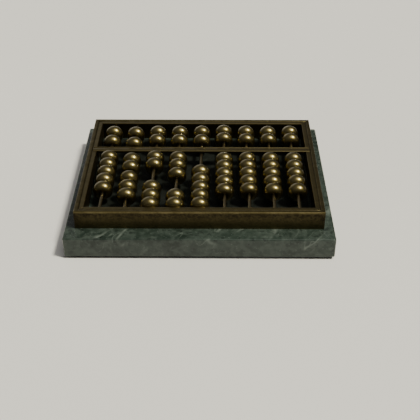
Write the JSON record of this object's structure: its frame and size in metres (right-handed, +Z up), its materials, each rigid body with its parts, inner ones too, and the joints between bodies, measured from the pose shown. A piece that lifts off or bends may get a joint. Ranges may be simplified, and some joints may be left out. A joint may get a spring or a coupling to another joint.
{
  "type": "abacus",
  "caption": "Brass desk abacus of the two-and-five kind with round beads that slide on rods, mounted on a polished green marble base with a felt underside.",
  "frame": {"origin": "centre of the base's underside, which is the felt pad's lower face", "axes": "+X along the beam, +Y from the five-bead deck, where the user sits, towards the two-bead deck, +Z up"},
  "size_m": [0.1518, 0.123, 0.0282],
  "materials": {
    "frame_brass": "aged, satin, dark in the grooves",
    "rod_brass": "drawn, lightly tarnished",
    "bead_brass": "turned and polished, olive gold",
    "green_marble": "polished, dark green with pale veins",
    "felt": "felt",
    "screw_steel": "plated"
  },
  "bodies": {
    "frame_and_base": {"marble_base": "green_marble", "felt_pad": "felt", "front_rail": "frame_brass", "rear_rail": "frame_brass", "left_rail": "frame_brass", "right_rail": "frame_brass", "beam": "frame_brass", "rod_1": "rod_brass", "rod_2": "rod_brass", "rod_3": "rod_brass", "rod_4": "rod_brass", "rod_5": "rod_brass", "rod_6": "rod_brass", "rod_7": "rod_brass", "rod_8": "rod_brass", "rod_9": "rod_brass", "base_screw_1": "screw_steel", "base_screw_2": "screw_steel", "base_screw_3": "screw_steel", "base_screw_4": "screw_steel"},
    "upper_bead_1_1": {"upper_bead_1_1": "bead_brass"},
    "upper_bead_1_2": {"upper_bead_1_2": "bead_brass"},
    "lower_stack_1_1_to_4": {"lower_stack_1_1_to_4": "bead_brass"},
    "lower_bead_1_5": {"lower_bead_1_5": "bead_brass"},
    "upper_bead_2_1": {"upper_bead_2_1": "bead_brass"},
    "upper_bead_2_2": {"upper_bead_2_2": "bead_brass"},
    "lower_bead_2_1": {"lower_bead_2_1": "bead_brass"},
    "lower_bead_2_2": {"lower_bead_2_2": "bead_brass"},
    "lower_bead_2_3": {"lower_bead_2_3": "bead_brass"},
    "lower_bead_2_4": {"lower_bead_2_4": "bead_brass"},
    "lower_bead_2_5": {"lower_bead_2_5": "bead_brass"},
    "upper_bead_3_1": {"upper_bead_3_1": "bead_brass"},
    "upper_bead_3_2": {"upper_bead_3_2": "bead_brass"},
    "lower_stack_3_1_to_2": {"lower_stack_3_1_to_2": "bead_brass"},
    "lower_stack_3_3_to_5": {"lower_stack_3_3_to_5": "bead_brass"},
    "upper_bead_4_1": {"upper_bead_4_1": "bead_brass"},
    "upper_bead_4_2": {"upper_bead_4_2": "bead_brass"},
    "lower_stack_4_1_to_2": {"lower_stack_4_1_to_2": "bead_brass"},
    "lower_bead_4_3": {"lower_bead_4_3": "bead_brass"},
    "lower_stack_4_4_to_5": {"lower_stack_4_4_to_5": "bead_brass"},
    "upper_bead_5_1": {"upper_bead_5_1": "bead_brass"},
    "upper_bead_5_2": {"upper_bead_5_2": "bead_brass"},
    "lower_stack_5_2_to_5": {"lower_stack_5_2_to_5": "bead_brass"},
    "lower_bead_5_1": {"lower_bead_5_1": "bead_brass"},
    "upper_bead_6_1": {"upper_bead_6_1": "bead_brass"},
    "upper_bead_6_2": {"upper_bead_6_2": "bead_brass"},
    "lower_stack_6_1_to_4": {"lower_stack_6_1_to_4": "bead_brass"},
    "lower_bead_6_5": {"lower_bead_6_5": "bead_brass"},
    "upper_bead_7_1": {"upper_bead_7_1": "bead_brass"},
    "upper_bead_7_2": {"upper_bead_7_2": "bead_brass"},
    "lower_stack_7_1_to_4": {"lower_stack_7_1_to_4": "bead_brass"},
    "lower_bead_7_5": {"lower_bead_7_5": "bead_brass"},
    "upper_bead_8_1": {"upper_bead_8_1": "bead_brass"},
    "upper_bead_8_2": {"upper_bead_8_2": "bead_brass"},
    "lower_stack_8_1_to_4": {"lower_stack_8_1_to_4": "bead_brass"},
    "lower_bead_8_5": {"lower_bead_8_5": "bead_brass"},
    "upper_bead_9_1": {"upper_bead_9_1": "bead_brass"},
    "upper_bead_9_2": {"upper_bead_9_2": "bead_brass"},
    "lower_stack_9_1_to_4": {"lower_stack_9_1_to_4": "bead_brass"},
    "lower_bead_9_5": {"lower_bead_9_5": "bead_brass"}
  },
  "joints": [
    {"name": "upper_bead_1_1_slide", "type": "slide", "parent": "frame_and_base", "child": "upper_bead_1_1", "axis": [0, 1, 0], "range_m": [-0.00261, 0.006]},
    {"name": "upper_bead_1_2_slide", "type": "slide", "parent": "frame_and_base", "child": "upper_bead_1_2", "axis": [0, 1, 0], "range_m": [-0.00444, 0.00261]},
    {"name": "lower_stack_1_1_to_4_slide", "type": "slide", "parent": "frame_and_base", "child": "lower_stack_1_1_to_4", "axis": [0, 1, 0], "range_m": [-0.00795, 0.00085]},
    {"name": "lower_bead_1_5_slide", "type": "slide", "parent": "lower_stack_1_1_to_4", "child": "lower_bead_1_5", "axis": [0, 1, 0], "range_m": [-0.00795, 0.00034]},
    {"name": "upper_bead_2_1_slide", "type": "slide", "parent": "frame_and_base", "child": "upper_bead_2_1", "axis": [0, 1, 0], "range_m": [-0.00431, 0.00679]},
    {"name": "upper_bead_2_2_slide", "type": "slide", "parent": "frame_and_base", "child": "upper_bead_2_2", "axis": [0, 1, 0], "range_m": [-0.00196, 0.00431]},
    {"name": "lower_bead_2_1_slide", "type": "slide", "parent": "frame_and_base", "child": "lower_bead_2_1", "axis": [0, 1, 0], "range_m": [-0.00017, 0.00342]},
    {"name": "lower_bead_2_2_slide", "type": "slide", "parent": "frame_and_base", "child": "lower_bead_2_2", "axis": [0, 1, 0], "range_m": [-0.00308, 0.00017]},
    {"name": "lower_bead_2_3_slide", "type": "slide", "parent": "frame_and_base", "child": "lower_bead_2_3", "axis": [0, 1, 0], "range_m": [-0.00111, 0.00308]},
    {"name": "lower_bead_2_4_slide", "type": "slide", "parent": "frame_and_base", "child": "lower_bead_2_4", "axis": [0, 1, 0], "range_m": [-0.00026, 0.00111]},
    {"name": "lower_bead_2_5_slide", "type": "slide", "parent": "frame_and_base", "child": "lower_bead_2_5", "axis": [0, 1, 0], "range_m": [-0.00906, 0.00026]},
    {"name": "upper_bead_3_1_slide", "type": "slide", "parent": "frame_and_base", "child": "upper_bead_3_1", "axis": [0, 1, 0], "range_m": [-0.0017, 0.00561]},
    {"name": "upper_bead_3_2_slide", "type": "slide", "parent": "frame_and_base", "child": "upper_bead_3_2", "axis": [0, 1, 0], "range_m": [-0.00574, 0.0017]},
    {"name": "lower_stack_3_1_to_2_slide", "type": "slide", "parent": "frame_and_base", "child": "lower_stack_3_1_to_2", "axis": [0, 1, 0], "range_m": [-0.01599, 0.00085]},
    {"name": "lower_stack_3_3_to_5_slide", "type": "slide", "parent": "frame_and_base", "child": "lower_stack_3_3_to_5", "axis": [0, 1, 0], "range_m": [0, 0.01599]},
    {"name": "upper_bead_4_1_slide", "type": "slide", "parent": "frame_and_base", "child": "upper_bead_4_1", "axis": [0, 1, 0], "range_m": [-0.00183, 0.00561]},
    {"name": "upper_bead_4_2_slide", "type": "slide", "parent": "frame_and_base", "child": "upper_bead_4_2", "axis": [0, 1, 0], "range_m": [-0.00561, 0.00183]},
    {"name": "lower_stack_4_1_to_2_slide", "type": "slide", "parent": "frame_and_base", "child": "lower_stack_4_1_to_2", "axis": [0, 1, 0], "range_m": [-0.0071, 0.00154]},
    {"name": "lower_bead_4_3_slide", "type": "slide", "parent": "lower_stack_4_1_to_2", "child": "lower_bead_4_3", "axis": [0, 1, 0], "range_m": [-0.0071, 0.00137]},
    {"name": "lower_stack_4_4_to_5_slide", "type": "slide", "parent": "frame_and_base", "child": "lower_stack_4_4_to_5", "axis": [0, 1, 0], "range_m": [0, 0.01419]},
    {"name": "upper_bead_5_1_slide", "type": "slide", "parent": "frame_and_base", "child": "upper_bead_5_1", "axis": [0, 1, 0], "range_m": [-0.00222, 0.00522]},
    {"name": "upper_bead_5_2_slide", "type": "slide", "parent": "frame_and_base", "child": "upper_bead_5_2", "axis": [0, 1, 0], "range_m": [-0.00561, 0.00222]},
    {"name": "lower_stack_5_2_to_5_slide", "type": "slide", "parent": "frame_and_base", "child": "lower_stack_5_2_to_5", "axis": [0, 1, 0], "range_m": [0, 0.00842]},
    {"name": "lower_bead_5_1_slide", "type": "slide", "parent": "lower_stack_5_2_to_5", "child": "lower_bead_5_1", "axis": [0, 1, 0], "range_m": [-0.00026, 0.00842]},
    {"name": "upper_bead_6_1_slide", "type": "slide", "parent": "frame_and_base", "child": "upper_bead_6_1", "axis": [0, 1, 0], "range_m": [-0.00078, 0.00418]},
    {"name": "upper_bead_6_2_slide", "type": "slide", "parent": "frame_and_base", "child": "upper_bead_6_2", "axis": [0, 1, 0], "range_m": [-0.00809, 0.00078]},
    {"name": "lower_stack_6_1_to_4_slide", "type": "slide", "parent": "frame_and_base", "child": "lower_stack_6_1_to_4", "axis": [0, 1, 0], "range_m": [-0.00705, 0.00265]},
    {"name": "lower_bead_6_5_slide", "type": "slide", "parent": "lower_stack_6_1_to_4", "child": "lower_bead_6_5", "axis": [0, 1, 0], "range_m": [-0.00705, 0.00034]},
    {"name": "upper_bead_7_1_slide", "type": "slide", "parent": "frame_and_base", "child": "upper_bead_7_1", "axis": [0, 1, 0], "range_m": [-0.00118, 0.00509]},
    {"name": "upper_bead_7_2_slide", "type": "slide", "parent": "frame_and_base", "child": "upper_bead_7_2", "axis": [0, 1, 0], "range_m": [-0.00679, 0.00118]},
    {"name": "lower_stack_7_1_to_4_slide", "type": "slide", "parent": "frame_and_base", "child": "lower_stack_7_1_to_4", "axis": [0, 1, 0], "range_m": [-0.0074, 0.00214]},
    {"name": "lower_bead_7_5_slide", "type": "slide", "parent": "lower_stack_7_1_to_4", "child": "lower_bead_7_5", "axis": [0, 1, 0], "range_m": [-0.0074, 0.00017]},
    {"name": "upper_bead_8_1_slide", "type": "slide", "parent": "frame_and_base", "child": "upper_bead_8_1", "axis": [0, 1, 0], "range_m": [-0.00078, 0.00548]},
    {"name": "upper_bead_8_2_slide", "type": "slide", "parent": "frame_and_base", "child": "upper_bead_8_2", "axis": [0, 1, 0], "range_m": [-0.00679, 0.00078]},
    {"name": "lower_stack_8_1_to_4_slide", "type": "slide", "parent": "frame_and_base", "child": "lower_stack_8_1_to_4", "axis": [0, 1, 0], "range_m": [-0.00718, 0.00231]},
    {"name": "lower_bead_8_5_slide", "type": "slide", "parent": "lower_stack_8_1_to_4", "child": "lower_bead_8_5", "axis": [0, 1, 0], "range_m": [-0.00718, 0.00043]},
    {"name": "upper_bead_9_1_slide", "type": "slide", "parent": "frame_and_base", "child": "upper_bead_9_1", "axis": [0, 1, 0], "range_m": [-0.00065, 0.00496]},
    {"name": "upper_bead_9_2_slide", "type": "slide", "parent": "frame_and_base", "child": "upper_bead_9_2", "axis": [0, 1, 0], "range_m": [-0.00744, 0.00065]},
    {"name": "lower_stack_9_1_to_4_slide", "type": "slide", "parent": "frame_and_base", "child": "lower_stack_9_1_to_4", "axis": [0, 1, 0], "range_m": [-0.00722, 0.00231]},
    {"name": "lower_bead_9_5_slide", "type": "slide", "parent": "lower_stack_9_1_to_4", "child": "lower_bead_9_5", "axis": [0, 1, 0], "range_m": [-0.00722, 0.00034]}
  ]
}
